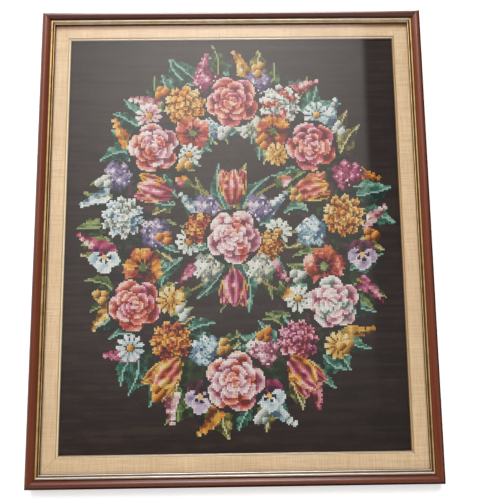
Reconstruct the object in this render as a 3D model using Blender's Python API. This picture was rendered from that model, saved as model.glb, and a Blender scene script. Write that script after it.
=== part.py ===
"""A needlepoint canvas panel in its picture frame, lying face up.

The stitched canvas lies taut on a backing board. A linen liner with a narrow fillet and a pane of
glass lie over it, all inside the rebate of a mitred wooden frame with a gilt slip at its sight edge.
+X is the picture's right, +Y its top and +Z the way it faces. The origin is on the surface that it
lies on, under the middle of the frame. Sizes are in millimetres and become metres in the meshes.
"""
import math

import bmesh
import bpy

MM = 0.001

# Driving dimensions. "Inset" is how far a line lies inside the frame's outer edge, seen face on.
FRAME_WIDTH = 650.0
FRAME_HEIGHT = 783.0
GAP = 0.3  # between any two pieces
CORNER_EASE = 0.8  # chamfer on the frame's back edge

ROLL_CENTRE_INSET = 8.3
ROLL_SPRING_HEIGHT = 17.0  # the side is upright below this height
ROLL_RISE = 11.0
ROLL_END_ANGLE = 35.0
QUIRK_HEIGHT = 22.2  # floor of the narrow channel between the roll and the slip

SLIP_INSET = 16.4
SIGHT_INSET = 22.9  # the gilt slip's inner edge
OUTER_BEAD_HEIGHT = 23.6
OUTER_BEAD_RISE = 2.2
OUTER_BEAD_WIDTH = 3.4
INNER_BEAD_HEIGHT = 20.7
INNER_BEAD_RISE = 1.1
INNER_BEAD_WIDTH = 2.3

LIP_INSET = 22.7
LIP_TOP = 19.9
LIP_UNDERSIDE = 18.6
REBATE_INSET = 16.4

GLASS_THICKNESS = 2.0
LINER_THICKNESS = 4.0
LINER_INNER_INSET = 45.2
LINER_SHOULDER = 1.8  # radius of the liner's inner top edge
OPENING_INSET = 48.5  # the fillet's inner edge, where the stitching starts to show
FILLET_WALL = 2.2  # upright part of the fillet
FILLET_RISE = 0.9
CANVAS_THICKNESS = 2.0
BOARD_THICKNESS = 3.0
PANE_ARRIS = 0.3
BOARD_ARRIS = 0.4

ROLL_STEPS = 44
BEAD_STEPS = 14
SHOULDER_STEPS = 8
SMOOTH_ANGLE = 35.0

# Heights of the layers, worked down from the underside of the lip.
GLASS_TOP = LIP_UNDERSIDE - GAP
LINER_TOP = GLASS_TOP - GLASS_THICKNESS - GAP
LINER_BASE = LINER_TOP - LINER_THICKNESS
CANVAS_TOP = LINER_BASE - GAP
BOARD_TOP = CANVAS_TOP - CANVAS_THICKNESS - GAP
SEATED_INSET = REBATE_INSET + GAP

# Each side of the frame: its turn about Z, its run, and the distance across the frame.
SIDES = [
    {"side": "bottom", "turn": 0.0, "run": FRAME_WIDTH, "across": FRAME_HEIGHT},
    {"side": "right", "turn": 90.0, "run": FRAME_HEIGHT, "across": FRAME_WIDTH},
    {"side": "top", "turn": 180.0, "run": FRAME_WIDTH, "across": FRAME_HEIGHT},
    {"side": "left", "turn": 270.0, "run": FRAME_HEIGHT, "across": FRAME_WIDTH},
]

# Each finish: colour, roughness and metallic value.
FINISHES = {
    "mahogany": {"colour": (0.16, 0.045, 0.025), "roughness": 0.35, "metallic": 0.0},
    "gilt": {"colour": (0.62, 0.43, 0.19), "roughness": 0.32, "metallic": 0.8},
    "linen": {"colour": (0.72, 0.58, 0.40), "roughness": 0.9, "metallic": 0.0},
    "pale_gilt": {"colour": (0.70, 0.55, 0.31), "roughness": 0.45, "metallic": 0.4},
    "glass": {"colour": (0.95, 0.97, 0.96), "roughness": 0.03, "metallic": 0.0},
    "stitched_wool": {"colour": (0.075, 0.055, 0.045), "roughness": 0.95, "metallic": 0.0},
    "board": {"colour": (0.33, 0.22, 0.12), "roughness": 0.85, "metallic": 0.0},
}


def clear_scene():
    for obj in list(bpy.data.objects):
        bpy.data.objects.remove(obj, do_unlink=True)


def make_finish(name):
    finish = FINISHES[name]
    material = bpy.data.materials.new(name)
    material.use_nodes = True
    shader = material.node_tree.nodes["Principled BSDF"]
    shader.inputs["Base Color"].default_value = (*finish["colour"], 1.0)
    shader.inputs["Roughness"].default_value = finish["roughness"]
    shader.inputs["Metallic"].default_value = finish["metallic"]
    if name == "glass":
        shader.inputs["Transmission Weight"].default_value = 1.0
    return material


def arc(inset, height, reach, rise, start, end, steps):
    """Points of an elliptical arc in a rail's section, from one angle to another."""
    points = []
    for step in range(steps + 1):
        angle = math.radians(start + (end - start) * step / steps)
        points.append((inset + reach * math.cos(angle), height + rise * math.sin(angle)))
    return points


def rail_section():
    """The wooden moulding: a tall roll outside, then the ledge for the slip and the rebate below."""
    roll = arc(
        ROLL_CENTRE_INSET, ROLL_SPRING_HEIGHT, ROLL_CENTRE_INSET, ROLL_RISE,
        180.0, ROLL_END_ANGLE, ROLL_STEPS,
    )
    ledge_inset = SLIP_INSET - GAP
    return [
        (CORNER_EASE, 0.0),
        (0.0, CORNER_EASE),
        *roll,
        (roll[-1][0] + GAP, QUIRK_HEIGHT),
        (ledge_inset, QUIRK_HEIGHT),
        (ledge_inset, LIP_TOP),
        (LIP_INSET, LIP_TOP),
        (LIP_INSET, LIP_UNDERSIDE),
        (REBATE_INSET, LIP_UNDERSIDE),
        (REBATE_INSET, 0.0),
    ]


def slip_section():
    """The gilt slip: a high bead outside, an upright step, and a low bead at the sight edge."""
    base = LIP_TOP + GAP
    step_inset = SIGHT_INSET - INNER_BEAD_WIDTH
    outer_bead = arc(
        step_inset - OUTER_BEAD_WIDTH / 2, OUTER_BEAD_HEIGHT, OUTER_BEAD_WIDTH / 2, OUTER_BEAD_RISE,
        180.0, 0.0, BEAD_STEPS,
    )
    inner_bead = arc(
        SIGHT_INSET - INNER_BEAD_WIDTH / 2, INNER_BEAD_HEIGHT, INNER_BEAD_WIDTH / 2, INNER_BEAD_RISE,
        180.0, 0.0, BEAD_STEPS,
    )
    return [(SLIP_INSET, base), (SLIP_INSET, OUTER_BEAD_HEIGHT), *outer_bead, *inner_bead, (SIGHT_INSET, base)]


def liner_section():
    """The flat linen-covered liner, with its inner top edge rounded over."""
    shoulder = arc(
        LINER_INNER_INSET - LINER_SHOULDER, LINER_TOP - LINER_SHOULDER, LINER_SHOULDER, LINER_SHOULDER,
        90.0, 0.0, SHOULDER_STEPS,
    )
    return [(SEATED_INSET, LINER_BASE), (SEATED_INSET, LINER_TOP), *shoulder, (LINER_INNER_INSET, LINER_BASE)]


def fillet_section():
    """The narrow fillet with a low rounded top, between the liner and the stitching."""
    outer = LINER_INNER_INSET + GAP
    half = (OPENING_INSET - outer) / 2
    crown = arc(outer + half, LINER_BASE + FILLET_WALL, half, FILLET_RISE, 180.0, 0.0, BEAD_STEPS)
    return [(outer, LINER_BASE), *crown, (OPENING_INSET, LINER_BASE)]


def mitred_rail(name, section, side, material):
    """Extrude a section along one side of the frame and cut both ends to the 45 degree mitre."""
    mitre_gap = GAP / 2 * math.sqrt(2)
    bm = bmesh.new()
    start = [bm.verts.new((0.0, inset, height)) for inset, height in section]
    end_face = bm.faces.new(start)
    grown = bmesh.ops.extrude_face_region(bm, geom=[end_face])
    far = {item for item in grown["geom"] if isinstance(item, bmesh.types.BMVert)}
    for vert in bm.verts:
        reach = side["run"] / 2 - vert.co.y - mitre_gap
        vert.co.x = reach if vert in far else -reach
    bmesh.ops.scale(bm, vec=(MM, MM, MM), verts=bm.verts[:])
    bmesh.ops.recalc_face_normals(bm, faces=bm.faces[:])
    rail = finish_object(name, bm, material)
    turn = math.radians(side["turn"])
    out = side["across"] / 2 * MM
    rail.location = (out * math.sin(turn), -out * math.cos(turn), 0.0)
    rail.rotation_euler = (0.0, 0.0, turn)
    return rail


def flat_sheet(name, inset, base, thickness, arris, material):
    """A flat rectangular sheet that fills the rebate, with its edges eased if it has an arris."""
    bm = bmesh.new()
    bmesh.ops.create_cube(bm, size=1.0)
    width = (FRAME_WIDTH - 2 * inset) * MM
    height = (FRAME_HEIGHT - 2 * inset) * MM
    bmesh.ops.scale(bm, vec=(width, height, thickness * MM), verts=bm.verts[:])
    sheet = finish_object(name, bm, material)
    sheet.location = (0.0, 0.0, (base + thickness / 2) * MM)
    if arris:
        bevel = sheet.modifiers.new("arris", "BEVEL")
        bevel.width = arris * MM
        bevel.segments = 1
    return sheet


def finish_object(name, bm, material):
    mesh = bpy.data.meshes.new(name)
    bm.to_mesh(mesh)
    bm.free()
    mesh.materials.append(material)
    mesh.shade_smooth()
    mesh.set_sharp_from_angle(angle=math.radians(SMOOTH_ANGLE))
    obj = bpy.data.objects.new(name, mesh)
    bpy.context.collection.objects.link(obj)
    return obj


def build_frame(finishes):
    """Four mitred lengths of each section, from the outside in."""
    lengths = [
        {"piece": "rail", "section": rail_section(), "finish": "mahogany"},
        {"piece": "slip", "section": slip_section(), "finish": "gilt"},
        {"piece": "liner", "section": liner_section(), "finish": "linen"},
        {"piece": "fillet", "section": fillet_section(), "finish": "pale_gilt"},
    ]
    for length in lengths:
        for side in SIDES:
            name = f"{length['piece']}_{side['side']}"
            mitred_rail(name, length["section"], side, finishes[length["finish"]])


def build_layers(finishes):
    """The glass, the canvas and the board, each bedded against the one above it."""
    flat_sheet(
        "glass_pane", SEATED_INSET, GLASS_TOP - GLASS_THICKNESS, GLASS_THICKNESS,
        PANE_ARRIS, finishes["glass"],
    )
    flat_sheet(
        "needlepoint_canvas", SEATED_INSET, CANVAS_TOP - CANVAS_THICKNESS, CANVAS_THICKNESS,
        0.0, finishes["stitched_wool"],
    )
    flat_sheet(
        "backing_board", SEATED_INSET, BOARD_TOP - BOARD_THICKNESS, BOARD_THICKNESS,
        BOARD_ARRIS, finishes["board"],
    )


def main():
    clear_scene()
    finishes = {name: make_finish(name) for name in FINISHES}
    build_frame(finishes)
    build_layers(finishes)


main()
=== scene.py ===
# %% [markdown]
# A framed needlepoint picture lies face up on a pale floor. The joiner's and the glazier's parts come
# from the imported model, which is loaded here as a fixed frame. This lesson gives them their wood, gilt,
# linen and glass. It then charts and stitches the canvas, which is the one part that is modelled anew.

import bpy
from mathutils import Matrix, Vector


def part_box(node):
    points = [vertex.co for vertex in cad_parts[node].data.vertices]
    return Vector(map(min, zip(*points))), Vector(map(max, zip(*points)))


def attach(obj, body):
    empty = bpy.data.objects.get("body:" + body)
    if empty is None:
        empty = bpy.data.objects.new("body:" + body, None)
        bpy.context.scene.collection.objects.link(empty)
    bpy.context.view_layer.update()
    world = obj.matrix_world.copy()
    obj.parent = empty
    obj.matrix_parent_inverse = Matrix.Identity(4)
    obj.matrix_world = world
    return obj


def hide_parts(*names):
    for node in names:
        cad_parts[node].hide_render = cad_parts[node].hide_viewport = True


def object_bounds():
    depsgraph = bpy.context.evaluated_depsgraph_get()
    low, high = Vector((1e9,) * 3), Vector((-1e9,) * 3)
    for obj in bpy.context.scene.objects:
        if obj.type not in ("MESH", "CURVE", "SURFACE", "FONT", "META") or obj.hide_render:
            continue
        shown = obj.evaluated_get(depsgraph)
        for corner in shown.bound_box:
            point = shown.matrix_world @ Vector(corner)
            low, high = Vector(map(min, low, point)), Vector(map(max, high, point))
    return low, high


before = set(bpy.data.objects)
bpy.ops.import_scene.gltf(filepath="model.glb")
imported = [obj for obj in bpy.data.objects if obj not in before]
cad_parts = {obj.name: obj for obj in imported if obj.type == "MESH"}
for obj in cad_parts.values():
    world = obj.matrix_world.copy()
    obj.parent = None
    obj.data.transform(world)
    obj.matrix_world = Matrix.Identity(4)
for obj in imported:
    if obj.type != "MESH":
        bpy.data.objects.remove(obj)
CAD_BOX = [list(corner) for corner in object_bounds()]
print("the framed panel measures", [round(high - low, 4) for low, high in zip(*CAD_BOX)], "m")

# %% Blender's modules
import math

import bpy
import numpy as np
from mathutils import Euler, Matrix, Vector

MM = 0.001

# %% [markdown]
# Many finishes below change with their place on the moulding: gold on the beads, dark wax in the
# groove, bare wood on the back. A framer measures such places inwards from the frame's outer edge, so
# the lesson does too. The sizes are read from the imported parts, so they follow the frame.

# %% Sizes from the frame
HALF_WIDTH, HALF_HEIGHT = CAD_BOX[1][0], CAD_BOX[1][1]


def inset_of(node):
    """How far a node of the frame's right side reaches inwards from the outer edge."""
    return HALF_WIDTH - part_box(node)[0].x


RAIL_SIGHT = inset_of("rail_right")
SLIP_SIGHT = inset_of("slip_right")
LINER_INNER = inset_of("liner_right")
OPENING = inset_of("fillet_right")
GLASS_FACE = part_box("glass_pane")[1].z
CANVAS_LOW, CANVAS_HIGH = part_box("needlepoint_canvas")
print(f"the stitching shows inside {OPENING / MM:.1f} mm of moulding, liner and fillet")

# %% [markdown]
# A finish is a tree of shader nodes. Drawn by hand the trees are large, so here they are written as
# sums. One small class wraps a socket, and an operator between two sockets adds the Math node for it.

# %% A socket that can be added and multiplied


class Tone:
    """A value, colour or direction in one material."""

    def __init__(self, tree, socket=None):
        self.tree = tree
        self.socket = socket

    def node(self, kind, settings=None, sockets=None, result=None):
        """Add any node: its settings first, then the value or link of each socket. Returns one result."""
        made = self.tree.nodes.new("ShaderNode" + kind)
        for name, setting in (settings or {}).items():
            if name == "stops":
                lay_stops(made.color_ramp, setting)
            else:
                setattr(made, name, setting)
        inputs = [socket for socket in made.inputs if socket.enabled]
        for name, value in (sockets or {}).items():
            target = inputs[name] if isinstance(name, int) else next(s for s in inputs if s.name == name)
            if isinstance(value, Tone):
                self.tree.links.new(value.socket, target)
            else:
                target.default_value = value
        outputs = [socket for socket in made.outputs if socket.enabled]
        chosen = outputs[0] if result is None else next(s for s in outputs if s.name == result)
        return Tone(self.tree, chosen)

    def math(self, operation, *values):
        return self.node("Math", {"operation": operation}, dict(enumerate((self, *values))))

    def __add__(self, other):
        return self.math("ADD", other)

    __radd__ = __add__

    def __mul__(self, other):
        return self.math("MULTIPLY", other)

    __rmul__ = __mul__

    def __sub__(self, other):
        return self.math("SUBTRACT", other)

    def __rsub__(self, other):
        return self.node("Math", {"operation": "SUBTRACT"}, {0: other, 1: self})

    def __abs__(self):
        return self.math("ABSOLUTE")

    def least(self, other):
        return self.math("MINIMUM", other)

    def most(self, other):
        return self.math("MAXIMUM", other)

    def wave(self, period):
        """A ridge from 0 to 1 and back, once in every period."""
        return self.math("PINGPONG", period / 2) * (2 / period)

    def ease(self, start, end):
        """0 up to start, 1 from end on, and a smooth slope between them."""
        settings = {"interpolation_type": "SMOOTHSTEP"}
        return self.node("MapRange", settings, {"Value": self, "From Min": start, "From Max": end})

    def between(self, start, end, soft):
        """1 inside a strip of the value and 0 outside it."""
        return self.ease(start - soft, start + soft) * (1 - self.ease(end - soft, end + soft))

    def blend(self, first, second):
        """From one colour to another, by this value."""
        return self.node("Mix", {"data_type": "RGBA"}, {"Factor": self, "A": first, "B": second})

    def ramp(self, *stops):
        return self.node("ValToRGB", {"stops": stops}, {"Fac": self})

    def stretched(self, x, y, z):
        """The same place, with each direction scaled."""
        return self.node("VectorMath", {"operation": "MULTIPLY"}, {0: self, 1: (x, y, z)})

    def noise(self, scale, detail=2.0, roughness=0.5):
        sockets = {"Vector": self, "Scale": scale, "Detail": detail, "Roughness": roughness}
        return self.node("TexNoise", {}, sockets, "Fac")

    def bump(self, distance, strength):
        """A normal that follows this value as a height, of distance metres from 0 to 1."""
        return self.node("Bump", {}, {"Height": self, "Distance": distance, "Strength": strength})


def lay_stops(color_ramp, stops):
    """Give a colour ramp its (place, colour) stops."""
    while len(color_ramp.elements) < len(stops):
        color_ramp.elements.new(1.0)
    for element, (place, colour) in zip(color_ramp.elements, stops):
        element.position = place
        element.color = colour


def paint(code):
    """A colour that is written as on a shade card, in six digits, as Blender's linear colour."""
    parts = [int(code[i:i + 2], 16) / 255 for i in (0, 2, 4)]
    linear = [p / 12.92 if p <= 0.04045 else ((p + 0.055) / 1.055) ** 2.4 for p in parts]
    return (*linear, 1.0)


print("a Tone wraps one socket")

# %% [markdown]
# Every finish starts the same way: a material with one Principled shader, and the place on the object
# as a vector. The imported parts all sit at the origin, so that place is in metres from the middle of
# the frame, and several lengths of a moulding can share one finish without a seam.

# %% Starting a finish


def start_finish(name):
    """A new material, its Principled shader, and the place on the object as a vector."""
    material = bpy.data.materials.new(name)
    material.use_nodes = True
    shader = material.node_tree.nodes["Principled BSDF"]
    place = Tone(material.node_tree).node("TexCoord", result="Object")
    return material, shader, place


def split(place):
    """The three numbers of a place."""
    return [place.node("SeparateXYZ", {}, {0: place}, axis) for axis in "XYZ"]


def feed(shader, **values):
    """Link or set sockets of a Principled shader. An underscore stands for the space in a socket's name."""
    for name, value in values.items():
        socket = shader.inputs[name.replace("_", " ")]
        if isinstance(value, Tone):
            value.tree.links.new(value.socket, socket)
        else:
            socket.default_value = value


def inset_at(x, y):
    """How far inside the frame's outer edge a place lies."""
    return (HALF_WIDTH - abs(x)).least(HALF_HEIGHT - abs(y))


def table(columns, *rows):
    """Rows of facts, each fact under its column's name."""
    return [dict(zip(columns.split(), row)) for row in rows]


def dress(nodes, material):
    for name in nodes:
        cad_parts[name].material_slots[0].material = material
    print(f"{material.name}: {len(nodes)} pieces")


SIDES = ("bottom", "right", "top", "left")

# %% [markdown]
# The moulding is a straight-grained hardwood under a mahogany stain and a thin varnish. Its grain runs
# along each length and so turns at the mitres, and one finish can't do both directions. Two are made by one
# function. The stain is thin along the top of the roll. The deep colour down its outer flank is painted
# shade, for a flank turned away from the light. Painted shade also darkens the lengths across, the top one
# most, and the upright ones towards their foot, where less light reaches them. The back is bare wood. The
# varnish is a coat that gets thinner towards the foot, on the inner flank, and above all on the wall
# outside. The lengths across shine more. In the groove beside the slip their colour is darkened as painted
# shade, and on the upright lengths it is lightened as painted light.

# %% Stained wood
# Below, the deep stain colour also serves as painted shade, and the pale one as painted light.
DEEP_STAIN_AND_SHADE, STAIN_RED = paint("300f09"), paint("6c3220")
STAIN, PALE_STAIN_AND_LIGHT = paint("82422a"), paint("9a583c")
BARE_WOOD, BARE_WOOD_DARK = paint("b99668"), paint("92714a")
# Where the finish changes: first as insets from the outer edge, then as heights.
OUTER_FLANK = (2 * MM, 7 * MM)
OUTER_WALL = (2 * MM, 4 * MM)
INNER_FLANK = (11.5 * MM, 13.5 * MM)
GROOVE = (13 * MM, 15 * MM)
REBATE = (RAIL_SIGHT - 6.9 * MM, RAIL_SIGHT - 6.5 * MM)
BACK_EDGE = (0.2 * MM, 0.7 * MM)
ROLL_FOOT = (17 * MM, 20.5 * MM)


def stained_wood(name, stretch, painted_shade_top, painted_shade_foot, groove, lacquer):
    """Stretch lays the grain along the length. The two shade numbers are how much painted shade deepens the
    stain, at top and at foot.

    Groove is the colour beside the slip: painted shade where it is deep, painted light where it is pale.
    Lacquer is the varnish's refractive index: more shines more.
    """
    material, shader, place = start_finish(name)
    x, y, z = split(place)
    inset = inset_at(x, y)
    grain = place.stretched(*stretch)
    fibres = grain.noise(420, 4, 0.6)
    figure = grain.noise(70, 3, 0.55)
    pores = grain.noise(1100, 2).ease(0.60, 0.74)
    stain = (fibres * 0.45 + figure * 0.55).ramp((0.32, STAIN_RED), (0.52, STAIN), (0.70, PALE_STAIN_AND_LIGHT))
    stain = (pores * 0.35).blend(stain, DEEP_STAIN_AND_SHADE)
    # Painted shade: deep colour down the outer flank, and along each length where less light reaches it.
    outer_flank = 1 - inset.ease(*OUTER_FLANK)
    up = y.ease(-HALF_HEIGHT, HALF_HEIGHT)
    stain = (outer_flank * 0.85).blend(stain, DEEP_STAIN_AND_SHADE)
    stain = (painted_shade_foot + (painted_shade_top - painted_shade_foot) * up).blend(stain, DEEP_STAIN_AND_SHADE)
    # Painted shade in the groove on the lengths across, painted light on the upright ones.
    stain = (inset.ease(*GROOVE) * 0.55).blend(stain, groove)
    bare = fibres.ramp((0.35, BARE_WOOD_DARK), (0.65, BARE_WOOD))
    back = 1 - z.ease(*BACK_EDGE)
    rebate = inset.ease(*REBATE)
    untouched = back.most(rebate * (1 - z.ease(GLASS_FACE, GLASS_FACE + 0.2 * MM)))
    inner_flank = inset.ease(*INNER_FLANK)
    outer_wall = (1 - z.ease(*ROLL_FOOT)) * (1 - inset.ease(*OUTER_WALL))
    varnish = (1 - untouched) * (1 - inner_flank * 0.45) * (1 - outer_wall * 0.85)
    feed(
        shader,
        Base_Color=untouched.blend(stain, bare),
        Roughness=0.42 + 0.4 * untouched + 0.10 * figure,
        Specular_IOR_Level=0.0,
        Normal=(fibres - 0.6 * pores).bump(0.10 * MM, 0.5),
        Coat_Weight=varnish * (0.65 + 0.35 * up),
        Coat_IOR=lacquer,
        Coat_Roughness=0.24,
    )
    return material


# The shade numbers paint shade, not stain: the lengths across are darker, the top one most, and the upright
# ones darken towards the foot.
ACROSS = stained_wood(
    "stained wood across", (0.02, 1, 1), painted_shade_top=0.62, painted_shade_foot=0.45, groove=DEEP_STAIN_AND_SHADE, lacquer=1.78,
)
UPRIGHT = stained_wood(
    "stained wood upright", (1, 0.02, 1), painted_shade_top=0.0, painted_shade_foot=0.28, groove=PALE_STAIN_AND_LIGHT, lacquer=1.58,
)
dress(["rail_bottom", "rail_top"], ACROSS)
dress(["rail_left", "rail_right"], UPRIGHT)

# %% [markdown]
# The slip is pressed metal leaf on a small moulding, under a hard clear lacquer. Brown wax was rubbed over
# it and wiped off the crests of the two beads, so the gold shows as two thin lines and the hollows stay
# dark. Each length is coloured for the light it gets: the top one has less wax, to paint light on its
# riser, and the bottom one has the palest leaf, a painted highlight. The bottom one also has the glossiest
# lacquer.

# %% Gilt slip
LEAF_RUBBED, WAX = paint("8a5a38"), paint("3a1e12")
HIGH_CREST, LOW_CREST = SLIP_SIGHT - 4.0 * MM, SLIP_SIGHT - 1.15 * MM
LOW_BEAD = (LOW_CREST - 0.7 * MM, LOW_CREST + 0.7 * MM)
SIGHT_WALL = (SLIP_SIGHT - 0.3 * MM, SLIP_SIGHT - 0.1 * MM)
# Per side, the leaf colours, the wax and the wax-free strip paint that length as it is lit: painted
# highlight at the bottom, painted shade at the sides.
LEAF = table(
    "side pale dull bright wax lacquer",
    ("bottom", "fff6e6", "f4e2c4", (-3.2, 0.8), 0.95, 3.0),
    ("right", "eccb8c", "cea668", (-2.0, 0.5), 0.95, 1.7),
    ("top", "fcecca", "ecd29c", (0.0, 2.7), 0.72, 2.8),
    ("left", "e6c384", "c49c5e", (-0.8, 1.4), 0.9, 1.7),
)


def gilt(side, pale, dull, bright, wax, lacquer):
    """Leaf for one side, coloured as that side is lit. Bright is the part of the high bead that is free of
    wax and carries the painted highlight, in mm from its crest.
    """
    material, shader, place = start_finish(f"gilt leaf {side}")
    x, y, _ = split(place)
    inset = inset_at(x, y)
    clouds = place.noise(60, 4, 0.6)
    flecks = place.noise(900, 2)
    leaf = clouds.ramp((0.35, paint(dull)), (0.60, paint(pale)))
    worn = (flecks * 0.4 + clouds * 0.6).ease(0.58, 0.70)
    leaf = (worn * 0.35).blend(leaf, LEAF_RUBBED)
    high = inset.between(HIGH_CREST + bright[0] * MM, HIGH_CREST + bright[1] * MM, 0.2 * MM)
    low = inset.between(*LOW_BEAD, 0.15 * MM)
    # The sight wall down to the liner is dark all round: wax, and painted shade.
    dark = ((1 - high.most(low)) * wax).most(inset.ease(*SIGHT_WALL))
    feed(
        shader,
        Base_Color=(dark * 0.95).blend(leaf, WAX),
        Metallic=0.6 * (1 - dark),
        Roughness=0.42 + 0.14 * clouds + 0.2 * dark,
        Specular_IOR_Level=0.0,
        Normal=(clouds + 0.3 * flecks).bump(0.06 * MM, 0.4),
        Coat_Weight=1 - 0.85 * dark,
        Coat_IOR=lacquer,
        Coat_Roughness=0.2,
    )
    return material


for facts in LEAF:
    dress(["slip_" + facts["side"]], gilt(**facts))

# %% [markdown]
# The liner is a flat wooden mount with fine linen glued over it. At arm's length it looks like paper, and
# close up it is an even plain weave with a thicker thread here and there. The weave is far below what a
# mesh should carry, so it is bump and a little colour on the imported shape. Along the top edge a warm tan
# band is painted in: a painted shadow of the slip, warmed by the gold and wood beside it.

# %% Linen liner
LINEN, LINEN_PALE = paint("eccfaa"), paint("f4dfc0")
LINEN_SHADE, LINEN_TAN = paint("d8ba92"), paint("aa5a14")
LINEN_THREAD = 0.55 * MM
SLIP_SHADOW_BAND = (HALF_HEIGHT - 32 * MM, HALF_HEIGHT - 23.5 * MM)


def plain_weave(place, thread):
    """Height of a plain weave of round threads, and its two sets of threads."""
    x, y, _ = split(place)
    warp = x.wave(2 * thread)
    weft = y.wave(2 * thread)
    return abs(warp - weft), warp, weft


def linen():
    material, shader, place = start_finish("linen")
    over = plain_weave(place, LINEN_THREAD)[0]
    slub_across = place.stretched(0.03, 1, 1).noise(900, 2)
    slub_up = place.stretched(1, 0.03, 1).noise(900, 2)
    slubs = (slub_across + slub_up) * 0.5
    age = place.noise(9, 4, 0.55)
    cloth = slubs.ramp((0.36, LINEN_SHADE), (0.50, LINEN), (0.64, LINEN_PALE))
    cloth = (age.ease(0.35, 0.7) * 0.35).blend(cloth, LINEN_SHADE)
    # Painted shadow: a tan band along the top edge, under the slip.
    slip_shadow = split(place)[1].ease(*SLIP_SHADOW_BAND)
    cloth = (slip_shadow * 0.92).blend(cloth, LINEN_TAN)
    feed(
        shader,
        # Painted shade: the cloth is a little darker where the threads dip between each other.
        Base_Color=((1 - over) * 0.12).blend(cloth, LINEN_SHADE),
        Roughness=0.86 + 0.08 * slubs,
        Normal=(over * 0.6 + slubs).bump(0.12 * MM, 0.5),
        Sheen_Weight=0.15,
        Sheen_Roughness=0.5,
    )
    return material


dress([f"liner_{side}" for side in SIDES], linen())

# %% [markdown]
# The fillet is the thin pale strip round the stitching. Its pale gilt is a paint under varnish, yellower
# beside the crown. A creamy strip on the crown is a painted highlight, and the brown at the foot, by the
# stitching, is painted shade. On all lengths but the left one a brown line of painted shade marks the gap
# where it meets the linen. Each length is coloured for the light it gets.

# %% Pale gilt fillet
GAP_SHADE_BROWN = paint("7a5c38")
FILLET_MIDDLE = (LINER_INNER + OPENING) / 2
SEAM = (LINER_INNER + 0.6 * MM, LINER_INNER + 1.0 * MM)
FILLET_FOOT = (CANVAS_HIGH.z, CANVAS_HIGH.z + 1.5 * MM)
# Per side, the colours and the crown strip paint that length as it is lit: a painted highlight at the
# bottom, painted shade on the right.
FILLET = table(
    "side cream old crown line lacquer",
    ("bottom", "fff4e4", "b89a70", (-1.5, 0.2), 0.6, 2.2),
    ("right", "d0b084", "a88450", (-0.9, 1.0), 0.5, 1.5),
    ("top", "e4d2b8", "c4a880", (-0.9, 0.8), 0.9, 1.8),
    ("left", "fbecc9", "ecd5a8", (-0.9, 1.0), 0.0, 1.5),
)


def pale_gilt(side, cream, old, crown, line, lacquer):
    """Paint for one side, coloured as that side is lit. Crown is the pale strip of painted highlight, in mm
    from the middle. Line is how dark the painted shade in the gap by the linen is.
    """
    material, shader, place = start_finish(f"pale gilt {side}")
    x, y, z = split(place)
    inset = inset_at(x, y)
    clouds = place.noise(80, 4, 0.6)
    pale_strip = inset.between(FILLET_MIDDLE + crown[0] * MM, FILLET_MIDDLE + crown[1] * MM, 0.4 * MM)
    coat = pale_strip.blend(paint(old), paint(cream))
    coat = (clouds.ease(0.45, 0.75) * 0.35).blend(coat, paint(old))
    # Painted shade: a brown line in the gap by the linen, and brown at the foot by the stitching.
    seam = (1 - inset.ease(*SEAM)) * line
    foot = (1 - z.ease(*FILLET_FOOT)) * 0.6
    feed(
        shader,
        Base_Color=seam.most(foot).blend(coat, GAP_SHADE_BROWN),
        Roughness=0.40 + 0.15 * clouds,
        Specular_IOR_Level=0.0,
        Normal=clouds.bump(0.05 * MM, 0.4),
        Coat_Weight=1 - seam,
        Coat_IOR=lacquer,
        Coat_Roughness=0.2,
    )
    return material


for facts in FILLET:
    dress(["fillet_" + facts["side"]], pale_gilt(**facts))

# %% [markdown]
# Picture glass shows itself only by what it reflects. A refracting shader would cost many rays for
# no gain in a flat pane, so the glass is a mix of clear and mirror. Light meets one outer and one
# inner face on its way through, and both faces reflect. Only faces met from outside mirror here, with
# nearly twice the share, so that no ray is trapped in the pane.

# %% Glass
GLASS_IOR = 1.5
BOTH_FACES = 1.9


def picture_glass():
    material = bpy.data.materials.new("picture glass")
    material.use_nodes = True
    tree = material.node_tree
    tree.nodes.remove(tree.nodes["Principled BSDF"])
    outer_face = 1 - Tone(tree).node("NewGeometry", result="Backfacing")
    share = Tone(tree).node("Fresnel", {}, {"IOR": GLASS_IOR}) * BOTH_FACES * outer_face
    clear = Tone(tree).node("BsdfTransparent", {}, {"Color": (0.99, 0.99, 0.985, 1)})
    mirror = Tone(tree).node("BsdfGlossy", {}, {"Color": (1, 1, 1, 1), "Roughness": 0.03})
    pane = Tone(tree).node("MixShader", {}, {0: share.least(1.0), 1: clear, 2: mirror})
    tree.links.new(pane.socket, tree.nodes["Material Output"].inputs["Surface"])
    return material


dress(["glass_pane"], picture_glass())

# %% [markdown]
# The backing board closes the rebate behind the canvas. It is plain brown hardboard: pressed fibres,
# smooth and slightly blotched.

# %% Backing board
BOARD_BROWN, BOARD_PALE = paint("6b4c30"), paint("8a6946")


def hardboard():
    material, shader, place = start_finish("hardboard")
    fibres = place.noise(1500, 4, 0.7)
    blotches = place.noise(14, 3)
    feed(
        shader,
        Base_Color=(fibres * 0.5 + blotches * 0.5).ramp((0.35, BOARD_BROWN), (0.65, BOARD_PALE)),
        Roughness=0.8 + 0.1 * fibres,
        Normal=fibres.bump(0.08 * MM, 0.5),
    )
    return material


dress(["backing_board"], hardboard())

# %% [markdown]
# Needlepoint is worked from a chart: one square for each stitch, with a number for its wool. The chart
# here is an array of shade numbers. Flowers are drawn into it by small functions, as a designer rules
# petals on squared paper, from simple curves and an uneven hand. The design is a generic wreath and
# posy on a dark brown ground. The wools come first, each family from its deepest shade to its palest.

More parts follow.
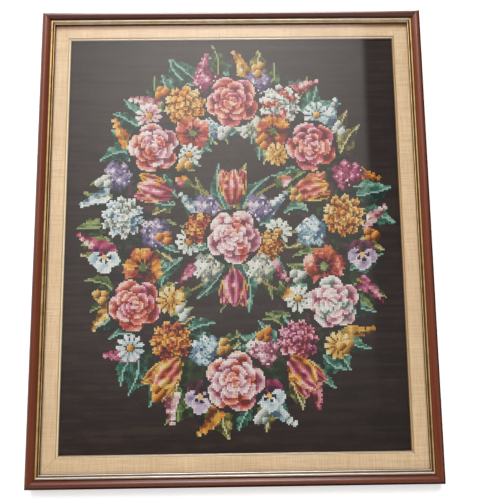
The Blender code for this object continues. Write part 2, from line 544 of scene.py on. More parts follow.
# %% The shade card
SHADE_CARD = {wool: codes.split() for wool, codes in {
    "ground": "281d1b 302321 382a26 41312b",
    "shadow": "231c1d 2f2526 43292e 5a3640",
    "rose": "6a1a2c 93283f bd4560 d9748a eda5b2 fbe0e0",
    "salmon": "7a211f aa3730 d25a4b e88473 f4b09c fde0d0",
    "blush": "8c3f57 bd6c84 dd9caf eec4cc f8e2e0 fffaf5",
    "magenta": "4a1230 7a1f4b a93366 c95a88 e08eac f3c6d2",
    "brick": "4a1512 73221a 992f20 b9472c d2653c e58d5c",
    "orange": "6e2f10 a04f16 cc7420 e8962f f6b64c fbd585",
    "gold": "6b4418 a56f24 d09436 e9b352 f6d182 fceabc",
    "white": "6d7a74 a3aca2 ccd3c6 e6ebe2 f5f6f1 ffffff",
    "ice": "4b6f86 7ba0b3 a9c8d4 cfe3e8 e9f3f5 fbffff",
    "lilac": "4a3d66 71618f 9687ab b9a7c6 d8c8dc f0e6ee",
    "plum": "2c1220 47202f 66304a 87475e a9687c c9929f",
    "teal": "17342d 245045 356c5b 4f8a76 74ab97 a5cfc0",
    "green": "1a2a19 2b4124 435c31 607a42 869a58 adb87c",
    "olive": "403a1c 5f592b 837a3c a79c58 c6bc7c dfd7a8",
}.items()}
SHADES = np.array([paint(code) for shades in SHADE_CARD.values() for code in shades])
FIRST_SHADE = {}
for wool in SHADE_CARD:
    FIRST_SHADE[wool] = sum(len(SHADE_CARD[earlier]) for earlier in FIRST_SHADE)
print(f"{len(SHADES)} shades in {len(SHADE_CARD)} families of wool")

# %% [markdown]
# The canvas has ten threads to the inch, and the stitching runs a little way under the fillet. The
# chart's size follows from those two facts. Unevenness comes from smooth random clouds on the chart:
# without them a computed petal looks ruled.

# %% Squared paper
STITCH = 2.54 * MM
UNDER_FILLET = 3.5 * MM
COLUMNS = 2 * round((HALF_WIDTH - OPENING + UNDER_FILLET) / STITCH)
ROWS = 2 * round((HALF_HEIGHT - OPENING + UNDER_FILLET) / STITCH)
FULL_TURN = 2 * math.pi
X, Y = np.meshgrid(np.arange(COLUMNS) - (COLUMNS - 1) / 2, np.arange(ROWS) - (ROWS - 1) / 2)
chart = np.zeros((ROWS, COLUMNS), int)


def cloud(seed, wide, high):
    """Smooth unevenness from -1 to 1 over the chart, in patches about wide by high stitches."""
    lattice = np.random.default_rng(seed).uniform(-1, 1, (int(ROWS / high) + 3, int(COLUMNS / wide) + 3))
    at_x, at_y = (X - X.min()) / wide, (Y - Y.min()) / high
    left, low = at_x.astype(int), at_y.astype(int)
    part_x, part_y = at_x - left, at_y - low
    part_x, part_y = part_x ** 2 * (3 - 2 * part_x), part_y ** 2 * (3 - 2 * part_y)
    below = lattice[low, left] * (1 - part_x) + lattice[low, left + 1] * part_x
    above = lattice[low + 1, left] * (1 - part_x) + lattice[low + 1, left + 1] * part_x
    return below * (1 - part_y) + above * part_y


PATCHES = cloud(3, 3.4, 2.6)
FLUSH = cloud(14, 5.5, 4.5)
DRIFT_X, DRIFT_Y = cloud(5, 4, 4), cloud(8, 4, 4)
print(f"the chart has {COLUMNS} by {ROWS} stitches, {chart.size} in all")

# %% The pencil: filling, measuring and lighting on squared paper


def lay(mask, wool, tone):
    """Fill the masked squares from one family of wool. Tone runs from 0, the deepest, to 1, the palest."""
    shades = len(SHADE_CARD[wool])
    step = np.clip((np.asarray(tone) + np.zeros_like(X)) * shades, 0, shades - 1).astype(int)
    chart[mask] = FIRST_SHADE[wool] + step[mask]


def lay_flushed(mask, wool, tone):
    """Fill with a wool. If a second one is named too, it flushes the first in patches."""
    first, *second = wool.split()
    lay(mask, first, tone)
    for other in second:
        lay(mask & (FLUSH > 0.12), other, tone)


def around(x, y, turn=0.0, waver=0.6):
    """Distance and angle from a motif's middle, with a hand's unsteadiness."""
    aside, ahead = X - x + waver * DRIFT_X, Y - y + waver * DRIFT_Y
    return np.hypot(aside, ahead), np.arctan2(ahead, aside) - math.radians(turn)


def along(x, y, angle, waver=0.5):
    """Stitches measured along and across a direction from a point."""
    turn = math.radians(angle)
    aside, ahead = X - x + waver * DRIFT_X, Y - y + waver * DRIFT_Y
    return aside * math.cos(turn) + ahead * math.sin(turn), ahead * math.cos(turn) - aside * math.sin(turn)


def lit(x, y, radius):
    """How far a stitch lies towards the upper left of a motif, from -1 to 1."""
    return np.clip((Y - y - (X - x)) / (1.5 * radius), -1, 1)


# %% [markdown]
# Roses and carnations are rings of petals, drawn from the outside in. Each petal is pale at its rim
# and deep where it dives under the next ring, and that one rule gives the whole bloom its roundness.

# %% Roses and carnations
ROSE = table(
    "edge petals turn",
    (1.00, 5, 0.0), (0.76, 5, 0.55), (0.54, 4, 0.2), (0.34, 3, 0.7), (0.17, 2, 0.1),
)
CARNATION = table(
    "edge petals turn",
    (1.00, 10, 0.0), (0.74, 8, 0.5), (0.48, 6, 0.2), (0.24, 3, 0.6),
)


def petal_rings(x, y, radius, turn, wool, rings, dip, frill):
    distance, angle = around(x, y, turn)
    lay(distance < 1.04 * radius, "shadow", 0.4)
    for ring in rings:
        swing = (angle / FULL_TURN * ring["petals"] + ring["turn"]) % 1
        side = np.abs(swing - 0.5) * 2
        rim = ring["edge"] * radius * (1 - dip * side ** 2.5 + frill * np.sin(angle * 31))
        depth = (rim - distance) / (0.25 * radius)
        tone = 1.0 - 0.85 * depth - 0.35 * side ** 3 + 0.34 * PATCHES + 0.24 * lit(x, y, radius)
        lay_flushed(distance < rim, wool, np.where(swing > 0.88, tone - 0.5, tone))


def rose(x, y, radius, turn, wool):
    petal_rings(x, y, radius, turn, wool, ROSE, 0.22, 0.0)


def carnation(x, y, radius, turn, wool):
    petal_rings(x, y, radius, turn, wool, CARNATION, 0.26, 0.05)


# %% [markdown]
# Open flowers are simpler. A daisy is a wheel of narrow petals round an eye. A pansy has two dark
# petals behind three pale ones. A poppy has four ragged petals and a dark heart. A tulip is three
# overlapping petals with a gold edge.

# %% Daisies, pansies, poppies and tulips
DAISY_PETALS = 11
PANSY = table(
    "angle out size pale tone",
    (118, 0.50, 0.56, False, 0.25), (62, 0.50, 0.56, False, 0.35),
    (190, 0.52, 0.48, True, 0.60), (-10, 0.52, 0.48, True, 0.60), (270, 0.48, 0.56, True, 0.75),
)
TULIP = table("lean wide", (-0.60, 0.56), (0.60, 0.56), (0.0, 0.60))


def daisy(x, y, radius, turn, wool):
    distance, angle = around(x, y, turn, 0.35)
    share = distance / radius
    side = np.abs(angle / FULL_TURN * DAISY_PETALS % 1 - 0.5) * 2
    petal = (share < 1 - 0.30 * side ** 2) & (side < 0.84)
    tone = 0.42 + 0.52 * share - 0.42 * side ** 2 + 0.2 * PATCHES + 0.14 * lit(x, y, radius)
    lay(petal | (share < 0.4), wool, tone)
    lay(share < 0.32, "gold", 0.12)
    lay(share < 0.27, "gold", 0.55 + 0.35 * lit(x, y, radius * 0.3) + 0.2 * PATCHES)


def pansy(x, y, radius, turn, wool):
    dark, pale = wool.split()
    for petal in PANSY:
        angle = math.radians(petal["angle"] + turn)
        at_x = x + petal["out"] * radius * math.cos(angle)
        at_y = y + petal["out"] * radius * math.sin(angle)
        reach = around(at_x, at_y)[0] / (petal["size"] * radius)
        tone = petal["tone"] + 0.5 * (reach - 0.5) + 0.25 * PATCHES
        lay(reach < 1, pale if petal["pale"] else dark, tone)
    distance, angle = around(x, y, turn, 0.2)
    lay((distance < 0.42 * radius) & (np.cos(5 * angle) > -0.2), "plum", 0.1 + 0.15 * PATCHES)
    lay(distance < 0.17 * radius, "gold", 0.75)


def poppy(x, y, radius, turn, wool):
    distance, angle = around(x, y, turn, 0.9)
    share = distance / radius
    side = np.abs(angle / FULL_TURN * 4 % 1 - 0.5) * 2
    crease = np.sin(angle * 13 + 4 * PATCHES)
    tone = 0.20 + 0.62 * share - 0.45 * side ** 4 + 0.12 * crease + 0.30 * PATCHES + 0.2 * lit(x, y, radius)
    lay_flushed(share < 1 - 0.16 * side ** 3 + 0.05 * crease, wool, tone)
    lay((share < 0.42) & (np.sin(angle * 9) > -0.2), "plum", 0.1 + 0.3 * PATCHES)
    lay(share < 0.20, "green", 0.75 + 0.3 * PATCHES)


def tulip(x, y, radius, turn, wool):
    onward, across = along(x, y, turn)
    part = np.clip((onward / radius + 1) / 2, 0, 1)
    for petal in TULIP:
        middle = petal["lean"] * radius * part ** 1.5
        half = petal["wide"] * radius * np.sin(math.pi * (0.12 + 0.86 * part)) ** 0.8
        off = (across - middle) / np.maximum(half, 0.1)
        shape = (np.abs(onward) < radius) & (np.abs(off) < 1)
        streak = 0.30 * np.sin(8 * off + 5 * petal["lean"] + PATCHES)
        tone = 0.28 + 0.45 * part + streak + 0.25 * PATCHES + 0.2 * lit(x, y, radius)
        lay_flushed(shape, wool, tone - 0.25 * (petal["lean"] != 0))
        lay(shape & (np.abs(off) > 0.84) & (part > 0.3), "gold", 0.6 + 0.3 * PATCHES)


# %% [markdown]
# Small stuff fills the gaps between big blooms: heads of four-petalled florets, berries, buds, and
# sprays of blossom. Florets are set by the golden angle, which never lines them up.

# %% Florets, berries, buds and sprays
GOLDEN_ANGLE = math.pi * (3 - math.sqrt(5))
FLORET = 2.4
BERRIES = 4
SPRAY_PAIRS = 6


def floret_head(x, y, radius, turn, wool):
    main, eye_wool = (wool.split() * 2)[:2]
    florets = int(1.15 * (radius / FLORET) ** 2)
    lay(around(x, y)[0] < 0.9 * radius, main, 0.1)
    for floret in reversed(range(florets)):
        out = radius * 0.9 * math.sqrt((floret + 0.5) / florets)
        angle = floret * GOLDEN_ANGLE + math.radians(turn)
        aside, ahead = np.abs(X - x - out * math.cos(angle)), np.abs(Y - y - out * math.sin(angle))
        shape = (aside + ahead < FLORET + 0.9) & (np.minimum(aside, ahead) < 1.3)
        tone = 0.66 + 0.30 * math.sin(floret * 1.7) - 0.12 * (aside + ahead) + 0.3 * lit(x, y, radius)
        lay(shape, main, tone + 0.1 * PATCHES)
        lay((aside < 0.6) & (ahead < 0.6), eye_wool, 0.9 if floret % 2 else 0.1)


def berries(x, y, radius, turn, wool):
    for berry in range(BERRIES):
        angle = math.radians(turn) + berry * GOLDEN_ANGLE
        out = radius * (0.25 + 0.6 * berry / BERRIES)
        at_x, at_y = x + out * math.cos(angle), y + out * math.sin(angle)
        lay(around(at_x, at_y, 0, 0.2)[0] < 2.9, wool, 0.45 + 0.55 * lit(at_x, at_y, 2.6))


def bud(x, y, radius, angle, wool):
    onward, across = along(x, y, angle, 0.3)
    part = np.clip(onward / (2 * radius), 0, 1)
    half = 0.75 * radius * np.sin(math.pi * part ** 0.7)
    tone = 0.35 + 0.5 * part + 0.4 * PATCHES
    lay_flushed((onward > 0) & (onward < 2 * radius) & (np.abs(across) < half), wool, tone)
    cup = (onward > -1) & (onward < 0.7 * radius) & (np.abs(across) < 0.5 * radius)
    lay(cup, "green", 0.55 + 0.3 * PATCHES)


def stem(x, y, angle, length, bend, wool):
    """A curved stem. Returns its tip and the direction there."""
    steps = int(length * 2)
    for step in range(steps):
        heading = math.radians(angle + bend * step / steps)
        x, y = x + 0.5 * math.cos(heading), y + 0.5 * math.sin(heading)
        lay(np.hypot(X - x, Y - y) < 0.8, wool, 0.55)
    return x, y, math.degrees(heading)


def spray(x, y, angle, length, wool, bend):
    """A stem with pairs of blossoms that get smaller towards its tip."""
    stem(x, y, angle, length, bend, "olive")
    for step in range(1, SPRAY_PAIRS + 1):
        part = step / SPRAY_PAIRS
        heading = math.radians(angle + bend * part / 2)
        side = 2.6 * (1 - part) + 0.6
        for hand in (-1, 1):
            at_x = x + part * length * math.cos(heading) - hand * side * math.sin(heading)
            at_y = y + part * length * math.sin(heading) + hand * side * math.cos(heading)
            lay(np.hypot(X - at_x, Y - at_y) < 2.6 - 1.2 * part, wool, 0.5 + 0.45 * PATCHES + 0.2 * hand)


# %% [markdown]
# A leaf is a sine-shaped blade with a bent midrib. One side of the midrib is a shade paler than the
# other, and slanting veins break up both.

# %% Leaves


def leaf(x, y, angle, length, width, wool, curl=0.12):
    onward, across = along(x, y, angle)
    part = np.clip(onward / length, 0, 1)
    across = across - curl * length * np.sin(math.pi * part)
    half = width / 2 * np.sin(math.pi * part ** 0.75) * (1 + 0.14 * np.sin(22 * part))
    blade = (onward > 0) & (onward < length) & (np.abs(across) < half)
    veins = ((onward - 1.3 * np.abs(across)) % 4.0) < 0.9
    tone = 0.40 + 0.24 * np.sign(across) * math.cos(math.radians(angle)) + 0.36 * PATCHES - 0.16 * veins
    lay(blade, wool, tone + 0.18 * (np.abs(across) / np.maximum(half, 0.1) - 0.5))
    lay(blade & (np.abs(across) < 0.55), wool, 0.95)


# %% [markdown]
# The layout is a tall oval wreath round a posy. Flowers are placed by their clock angle on the
# oval and their distance from it. Each row of the table makes a flower on the right and its mirror
# image on the left, often in another wool, so the wreath balances without being a stamp. Where two
# wools are named, the second flushes the first.

# %% The wreath's table
WREATH_WIDE, WREATH_TALL = 66.0, 92.0
MOTIFS = {
    "rose": rose, "carnation": carnation, "daisy": daisy, "pansy": pansy, "poppy": poppy,
    "head": floret_head, "tulip": tulip,
}
WREATH = table(
    "motif clock out size right left",
    ("head", 11, 15, 10, "lilac ice", "magenta blush"),
    ("head", 13, -15, 9, "white gold", "ice gold"),
    ("carnation", 25, 7, 14, "white salmon", "orange gold"),
    ("poppy", 31, -11, 12, "brick orange", "salmon brick"),
    ("daisy", 40, 18, 9, "ice", "blush"),
    ("daisy", 43, -20, 8, "gold", "white"),
    ("rose", 50, 2, 17, "rose salmon", "blush salmon"),
    ("head", 67, 16, 10, "magenta blush", "lilac ice"),
    ("tulip", 68, -10, 12, "salmon orange", "rose orange"),
    ("carnation", 82, 7, 14, "orange gold", "white ice"),
    ("head", 88, -15, 10, "ice white", "lilac ice"),
    ("pansy", 97, 18, 10, "plum lilac", "magenta ice"),
    ("poppy", 103, -6, 13, "brick salmon", "orange brick"),
    ("rose", 117, 5, 17, "blush white", "salmon rose"),
    ("daisy", 121, -17, 9, "white", "gold"),
    ("daisy", 131, 19, 9, "gold", "ice"),
    ("carnation", 139, -4, 13, "magenta rose", "brick orange"),
    ("tulip", 148, 13, 13, "rose orange", "salmon gold"),
    ("head", 158, -14, 10, "blush white", "ice lilac"),
    ("pansy", 165, 13, 10, "magenta ice", "plum lilac"),
)


def on_wreath(clock, out=0.0):
    """The place at a clock angle on the oval, moved out from it, and the outward direction there."""
    angle = math.radians(90 - clock)
    outward = math.atan2(math.sin(angle) / WREATH_TALL, math.cos(angle) / WREATH_WIDE)
    x = WREATH_WIDE * math.cos(angle) + out * math.cos(outward)
    y = WREATH_TALL * math.sin(angle) + out * math.sin(outward)
    return x, y, math.degrees(outward)


# %% The ground, and a shaded bed under the wreath
# The ground is stitched paler towards the left: partly the design's own tone, partly a painted reflection
# of the daylight from that side.
lay(X < COLUMNS, "ground", 0.5 + 0.36 * cloud(11, 30, 1.6) + 0.2 * cloud(12, 9, 5) - 0.3 * X / COLUMNS)
bed = np.abs(np.hypot(X / WREATH_WIDE, Y / WREATH_TALL) - 1) * 76 + 4 * cloud(21, 7, 7)
lay(bed < 24, "shadow", 0.35 + 0.6 * cloud(22, 6, 5))
lay((bed < 21) & (cloud(23, 6, 6) > -0.1), "green", 0.10 + 0.3 * cloud(24, 3, 3))

# %% Leaves and sprays of the wreath
FOLIAGE = ("teal", "green", "teal", "olive", "teal", "green")
picks = np.random.default_rng(31)
for clock in np.arange(0, 360, 6):
    for side in (1, -1):
        lean = picks.uniform(-42, 42)
        x, y, outward = on_wreath(clock + picks.uniform(-3, 3), side * picks.uniform(9, 17))
        length = picks.uniform(17, 27) if side > 0 else picks.uniform(13, 20)
        heading = outward + lean + (0 if side > 0 else 180)
        width = length * picks.uniform(0.38, 0.55)
        leaf(x, y, heading, length, width, FOLIAGE[picks.integers(6)], picks.uniform(-0.15, 0.15))
for number, wool in enumerate(("gold", "rose", "ice", "orange", "blush", "magenta") * 3):
    x, y, outward = on_wreath(6 + 20 * number, 16)
    lean = -1 if number % 2 else 1
    spray(x, y, outward + 18 * lean, 21, wool, 25 * lean)

# %% Flowers and berries of the wreath
for bloom in WREATH:
    for hand, wool in ((1, bloom["right"]), (-1, bloom["left"])):
        x, y, outward = on_wreath(hand * bloom["clock"], bloom["out"])
        turn = {"tulip": outward, "pansy": 0}.get(bloom["motif"], hand * bloom["clock"] * 3)
        MOTIFS[bloom["motif"]](x, y, bloom["size"], turn, wool)
rose(0, WREATH_TALL, 18, 10, "salmon rose")
rose(0, -WREATH_TALL, 19, 40, "blush salmon")
for number in range(18):
    outside = number % 2 == 0
    x, y, outward = on_wreath(10 + 20 * number, 24 if outside else -21)
    berries(x, y, 5, 20 * number, ("gold", "orange", "white")[number % 3])

# %% The posy in the middle
for number in range(16):
    angle = 22.5 * number + 11
    reach = 26 + 13 * abs(math.sin(math.radians(angle)))
    x, y = 8 * math.cos(math.radians(angle)), 12 * math.sin(math.radians(angle))
    leaf(x, y, angle, reach, 11, FOLIAGE[number % 6])
for hand in (1, -1):
    for rise, wool in ((1, "rose orange"), (-1, "gold")):
        x, y, heading = stem(0, 6 * rise, rise * (90 - hand * 22), 42, -rise * hand * 46, "olive")
        bud(x, y, 5.5, heading, wool)
    spray(hand * 18, 14, 90 - hand * 58, 22, "ice", hand * 20)
    spray(hand * 18, -14, hand * 58 - 90, 22, "magenta", -hand * 20)
for rise, wool in ((1, "rose salmon"), (-1, "magenta rose")):
    tulip(0, 33 * rise, 12, 90 * rise, wool)
for hand in (1, -1):
    daisy(hand * 29, hand * 3, 9, 0, "white")
    floret_head(hand * 17, 19, 9, 0, "lilac ice")
    floret_head(-hand * 17, -20, 9, 0, "white gold")
    carnation(hand * 22, -hand * 6, 10, 0, "orange gold" if hand > 0 else "brick orange")
rose(0, 0, 18, 25, "blush salmon")
used = len(np.unique(chart))
design = (chart >= len(SHADE_CARD["ground"])).mean()
print(f"{used} of {len(SHADES)} shades are in use, and {design:.0%} of the stitches are design")

# %% [markdown]
# The stitch is the half cross: wool comes up through one hole of the canvas and goes down through the
# next hole on the diagonal, so each stitch is a plump slanting grain. Nearly sixty thousand of them are
# one even lattice, so the mesh is built as arrays: shared vertices at the holes and the valleys, two
# more on each ridge, and ten triangles a stitch. Smooth shading turns those facets into wool.

# %% One stitch
HOLE_DEPTH = 0.85 * MM
VALLEY_DEPTH = 0.45 * MM
RIDGE_ENDS = (0.27, 0.73)
CROWN = CANVAS_HIGH.z - 0.05 * MM
BANDS = 4
# Corners of one stitch's ten triangles: holes at the four corners, valleys on the four sides, and
# the two ridge points near (p) and far (q).
FACES = [corners.split() for corners in (
    "hole_low valley_below p", "valley_below valley_right q", "valley_below q p",
    "valley_right hole_high q", "hole_high valley_above q", "valley_above valley_left p",
    "valley_above p q", "valley_left hole_low p",
    "valley_below hole_right valley_right", "valley_above hole_left valley_left",
)]
jitter = np.random.default_rng(47)


def stitched_band(name, first_row, last_row):
    """A mesh of the chart's rows from first_row up to last_row, with a colour on every face."""
    rows, columns = last_row - first_row, COLUMNS
    column, row = np.meshgrid(np.arange(columns + 1), np.arange(rows + 1))
    left, low = -COLUMNS / 2, first_row - ROWS / 2
    holes = np.stack([column + left, row + low, np.full(column.shape, -HOLE_DEPTH / STITCH)], -1)
    level = holes[:, :-1] + (0.5, 0, (HOLE_DEPTH - VALLEY_DEPTH) / STITCH)
    upright = holes[:-1, :] + (0, 0.5, (HOLE_DEPTH - VALLEY_DEPTH) / STITCH)
    cell = holes[:-1, :-1]
    lift = jitter.uniform(-0.05, 0.0, (rows, columns, 1)) * (0, 0, 1)
    sway = jitter.normal(0, 0.015, (rows, columns, 1)) * (1, -1, 0)
    ridges = [cell + (at, at, HOLE_DEPTH / STITCH) + lift + sway for at in RIDGE_ENDS]
    vertices = np.concatenate([grid.reshape(-1, 3) for grid in (holes, level, upright, *ridges)]) * STITCH
    vertices[:, 2] += CROWN
    starts = np.cumsum([0, holes.size // 3, level.size // 3, upright.size // 3, cell.size // 3])
    column, row = np.meshgrid(np.arange(columns), np.arange(rows))
    hole = row * (columns + 1) + column
    square = row * columns + column
    corner = {
        "hole_low": hole, "hole_right": hole + 1,
        "hole_left": hole + columns + 1, "hole_high": hole + columns + 2,
        "valley_below": starts[1] + square, "valley_above": starts[1] + square + columns,
        "valley_left": starts[2] + hole, "valley_right": starts[2] + hole + 1,
        "p": starts[3] + square, "q": starts[4] + square,
    }
    faces = np.stack([np.stack([corner[point] for point in face], -1) for face in FACES], 2).reshape(-1, 3)
    mesh = bpy.data.meshes.new(name)
    mesh.from_pydata(vertices.tolist(), [], faces.tolist())
    mesh.shade_smooth()
    strand = jitter.normal(1, 0.035, chart[first_row:last_row].shape)[..., None]
    colours = SHADES[chart[first_row:last_row]] * np.concatenate([strand.repeat(3, -1), strand * 0 + 1], -1)
    layer = mesh.color_attributes.new("wool", "FLOAT_COLOR", "CORNER")
    per_corner = np.repeat(colours.reshape(-1, 4), len(FACES) * 3, 0).astype(np.float32)
    layer.data.foreach_set("color", per_corner.ravel())
    piece = bpy.data.objects.new(name, mesh)
    bpy.context.scene.collection.objects.link(piece)
    return piece


edges = [round(ROWS * number / BANDS) for number in range(BANDS + 1)]
stitching = [
    stitched_band(f"stitched_rows_{low + 1}_to_{high}", low, high) for low, high in zip(edges, edges[1:])
]
print([f"{piece.name}: {len(piece.data.polygons)} triangles" for piece in stitching])

# %% [markdown]
# Tapestry wool is matt and hairy. The colour comes from the chart, and the shader adds fibres that run
# along the stitch and a soft sheen at low angles. It also paints shade into the holes and the gaps between
# strands, darker the deeper the wool lies.

# %% Wool


def tapestry_wool():
    material, shader, place = start_finish("tapestry wool")
    dyed = place.node("Attribute", {"attribute_name": "wool"}, {}, "Color")
    x, y, z = split(place)
    strand = place.node("CombineXYZ", {}, {"X": (x + y) * 0.12, "Y": x - y, "Z": z})
    fibres = strand.noise(2600, 3, 0.6)
    ply = (x - y + place.noise(800, 1) * 0.4 * MM).wave(0.62 * MM)
    # Painted shade: the colour darkens with depth, into the holes and the gaps between strands.
    depth = z.ease(CROWN - HOLE_DEPTH, CROWN - 0.35 * VALLEY_DEPTH)
    shaded = ((1 - depth) * 0.45).blend(dyed, (0.0, 0.0, 0.0, 1))
    feed(
        shader,
        Base_Color=(fibres.ease(0.75, 0.25) * 0.16).blend(shaded, (0.0, 0.0, 0.0, 1)),
        Roughness=0.9,
        Normal=(fibres * 0.7 + ply * 0.6).bump(0.10 * MM, 0.6),
        Sheen_Weight=0.03,
        Sheen_Roughness=0.4,
    )
    return material


WOOL = tapestry_wool()
for piece in stitching:
    piece.data.materials.append(WOOL)
    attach(piece, "root")
print("wool on", len(stitching), "bands")

# %% [markdown]
# Under the stitches lies the canvas itself, one flat stretched sheet that reaches out into the rebate
# on every side. Its bare margin is stiff double-thread canvas. It is modelled as a slab with a rounded
# edge, just below the holes of the stitching.

# %% The canvas under the stitches
CANVAS_BARE, CANVAS_GAP = paint("d8c8a4"), paint("8b7a58")
CLOTH_TOP = CROWN - HOLE_DEPTH - 0.12 * MM
EDGE_ROUND = 0.25 * MM


def bare_canvas():
    material, shader, place = start_finish("bare canvas")
    over, warp, weft = plain_weave(place, STITCH / 2)
    thread = warp.ease(0.15, 0.5).most(weft.ease(0.15, 0.5))
    feed(
        shader,
        Base_Color=(thread * (0.8 + 0.2 * place.noise(900, 2))).blend(CANVAS_GAP, CANVAS_BARE),
        Roughness=0.85 + 0.1 * over,
        Normal=thread.bump(0.3 * MM, 0.6),
    )
    return material


def flat_canvas():
    """The whole sheet of canvas, as a thin slab with its edges eased."""
    bpy.ops.mesh.primitive_cube_add(size=1)
    cloth = bpy.context.object
    cloth.name = cloth.data.name = "canvas_sheet"
    width, height = CANVAS_HIGH.x - CANVAS_LOW.x, CANVAS_HIGH.y - CANVAS_LOW.y
    thickness = CLOTH_TOP - CANVAS_LOW.z
    cloth.data.transform(Matrix.Diagonal((width, height, thickness, 1)))
    cloth.location.z = CANVAS_LOW.z + thickness / 2
    ease = cloth.modifiers.new("edge", "BEVEL")
    ease.width = EDGE_ROUND
    ease.segments = 3
    return cloth, (width, height)


canvas, cut = flat_canvas()
canvas.data.materials.append(bare_canvas())
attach(canvas, "root")
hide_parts("needlepoint_canvas")
print("canvas cut to", [round(side, 4) for side in cut], "m")

# %% [markdown]
# The panel lies on a pale floor. A white floor this close would fill every shadow of the moulding and shine
# in its varnish, so it is seen but lights nothing: rays from the panel pass through it. It glows a little
# of its own: painted light that lifts the panel's shadow on it and keeps it pale. From below it is clear,
# so that a view from there shows the panel's back. It lies a hair under that back, so that no two faces
# share one plane.

# %% Floor
FLOOR_GLOW = 0.42
FLOOR_DROP = 0.2 * MM


def pale_floor():
    bpy.ops.mesh.primitive_plane_add(size=9, location=(0, 0, -FLOOR_DROP))
    floor = bpy.context.object
    floor.name = "floor"
    material, shader, place = start_finish("pale floor")
    mottle = place.noise(3, 3)
    feed(
        shader,
        Base_Color=mottle.ramp((0.3, (0.93, 0.93, 0.93, 1)), (0.7, (0.95, 0.95, 0.95, 1))),
        Roughness=0.9,
        # Painted light: the floor's own glow lifts the shadow on it.
        Emission_Color=(1, 1, 1, 1),
        Emission_Strength=FLOOR_GLOW,
    )
    tree = material.node_tree
    from_below = Tone(tree).node("NewGeometry", result="Backfacing")
    painted = Tone(tree, shader.outputs["BSDF"])
    clear = Tone(tree).node("BsdfTransparent")
    surface = Tone(tree).node("MixShader", {}, {0: from_below, 1: painted, 2: clear})
    tree.links.new(surface.socket, tree.nodes["Material Output"].inputs["Surface"])
    floor.data.materials.append(material)
    floor.visible_diffuse = floor.visible_glossy = False


pale_floor()
print("floor laid")

# %% [markdown]
# Soft daylight comes from beyond the top edge. One sky holds it: a haze that the glass mirrors over the
# stitching, brightest beyond the top edge, with a large soft patch of light in it, a darker band on the
# right, and a dim glow beyond the foot and on the right. Below the horizon only the left side glows.
# Across and upward are slopes: how far a direction leans to the right and to the top edge for each unit
# that it rises. Where the camera looks past the floor it sees none of this, but a plain pale backdrop.

# %% Daylight
DIM = 0.02
HAZE = 1.0
SKYLIGHT = 1.0
PATCH = 8.0
FOOT_GLOW = 0.65
RIGHT_GLOW = 0.25
LEFT_GLOW = 1.55
BACKDROP = 0.95


def daylight():
    world = bpy.data.worlds.new("daylight")
    bpy.context.scene.world = world
    world.use_nodes = True
    tree = world.node_tree
    x, y, z = split(Tone(tree).node("TexCoord", result="Generated"))
    above = z.ease(-0.01, 0.01)
    height = z.most(0.05)
    across = x.math("DIVIDE", height)
    upward = y.math("DIVIDE", height)
    middle = 1 - abs(across + 0.05).ease(0.0, 0.62)
    left = 1 - across.ease(-0.5, 0.1)
    haze = HAZE * upward.ease(-0.35, 0.25) * middle.most(left * 0.5)
    skylight = SKYLIGHT * upward.ease(0.1, 0.6) * (1 - upward.ease(0.8, 1.6)) * middle
    patch_wide = 1 - abs(across + 0.03).ease(0.10, 0.48)
    patch = PATCH * upward.ease(0.56, 0.74) * (1 - upward.ease(1.0, 2.2)) * patch_wide
    band = across.ease(0.245, 0.262) * (1 - upward.ease(0.62, 0.8)) * upward.ease(-0.5, 0.3)
    foot = FOOT_GLOW * (0 - upward).ease(0.30, 0.60) * (1 - (0 - upward).ease(1.2, 2.4))
    right = RIGHT_GLOW * across.ease(0.5, 0.8) * (1 - across.ease(2.0, 4.0))
    below = LEFT_GLOW * (0 - x).ease(0.3, 0.6)
    sky = DIM + (haze + skylight) * (1 - 0.9 * band) + patch + foot + right
    strength = above * sky + (1 - above) * below
    neutral = upward.ease(0.45, 0.7).most(left)
    tint = neutral.blend((1.0, 0.94, 0.90, 1), (1.0, 0.985, 0.975, 1))
    seen = Tone(tree).node("LightPath", result="Is Camera Ray")
    background = tree.nodes["Background"]
    tree.links.new(seen.blend(tint, (1, 1, 1, 1)).socket, background.inputs["Color"])
    tree.links.new((strength * (1 - seen) + BACKDROP * seen).socket, background.inputs["Strength"])


daylight()
print("daylight set")

# %% [markdown]
# Four lamps help the sky. A soft one near the top edge falls off along the panel and never shows in a
# reflection. Two strips do the opposite: only reflections see them. The upper one draws the pale line
# along the top of the varnish, and the low one stands for a bright floor beyond the top edge. Both are
# linked to the varnished and gilt mouldings alone, so the glass never mirrors their hard outlines. The
# fourth lies under the panel and is linked to its back, which the floor would otherwise keep dark.

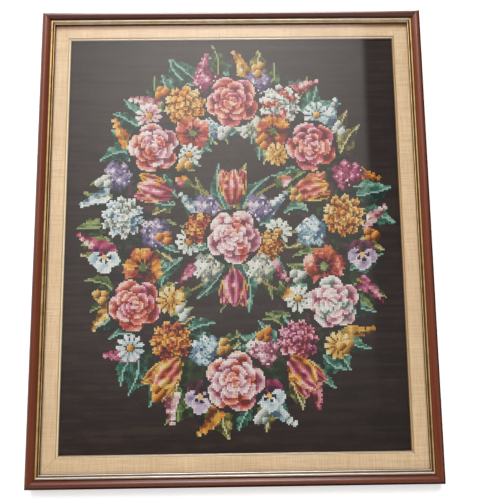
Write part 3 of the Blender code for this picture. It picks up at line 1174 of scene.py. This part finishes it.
# %% Lamps
SOFT_LAMP = {"size": (0.9, 0.7), "place": (-0.45, 0.55, 1.10), "power": 5.0}
UPPER_STRIP = {"size": (1.0, 0.5), "place": (-0.02, 1.10, 0.34), "power": 11.5}
LOW_STRIP = {"size": (0.9, 0.30), "place": (-0.03, 0.60, -0.12), "power": 5.4}
BACK_LAMP = {"size": (0.8, 0.8), "place": (0.0, 0.0, -1.50), "power": 20.0}


def lamp(name, size, place, power):
    data = bpy.data.lights.new(name, "AREA")
    data.shape = "RECTANGLE"
    data.size, data.size_y = size
    data.energy = power
    data.color = (1.0, 0.98, 0.965)
    made = bpy.data.objects.new(name, data)
    made.location = place
    made.rotation_euler = (Vector() - made.location).to_track_quat("-Z", "Y").to_euler()
    made.visible_camera = False
    bpy.context.scene.collection.objects.link(made)
    return made


def lit_group(name, nodes):
    """A collection of the frame's nodes that a lamp can be linked to."""
    group = bpy.data.collections.new(name)
    for node in nodes:
        group.objects.link(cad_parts[node])
    return group


rails, slips, fillets = ([f"{kind}_{side}" for side in SIDES] for kind in ("rail", "slip", "fillet"))
shiny = lit_group("shiny mouldings", rails + slips + fillets)
backs = lit_group("back of the panel", ["backing_board"] + rails)
lamp("soft lamp", **SOFT_LAMP).visible_glossy = False
for strip in (lamp("upper strip", **UPPER_STRIP), lamp("low strip", **LOW_STRIP)):
    strip.visible_diffuse = False
    strip.light_linking.receiver_collection = shiny
back_lamp = lamp("back lamp", **BACK_LAMP)
back_lamp.visible_glossy = False
back_lamp.light_linking.receiver_collection = backs
back_lamp.light_linking.blocker_collection = backs
print("four lamps set")

# %% [markdown]
# The camera looks down on the panel from a little over arm's length, a bit below its middle. Its place
# was found by matching the frame's edges, and its lens takes in 53 degrees.

# %% Camera
camera_data = bpy.data.cameras.new("camera")
camera_data.lens = 36.0
camera_data.sensor_width = 36.0
camera = bpy.data.objects.new("camera", camera_data)
camera.location = (0.0198, -0.1212, 0.8283)
camera.rotation_euler = Euler([math.radians(turn) for turn in (6.885, -0.407, -0.706)])
bpy.context.scene.collection.objects.link(camera)
bpy.context.scene.camera = camera
bpy.context.scene.view_settings.view_transform = "Standard"
print("camera stands", camera_data.lens, "mm lens,", round(camera.location.z, 2), "m above the floor")
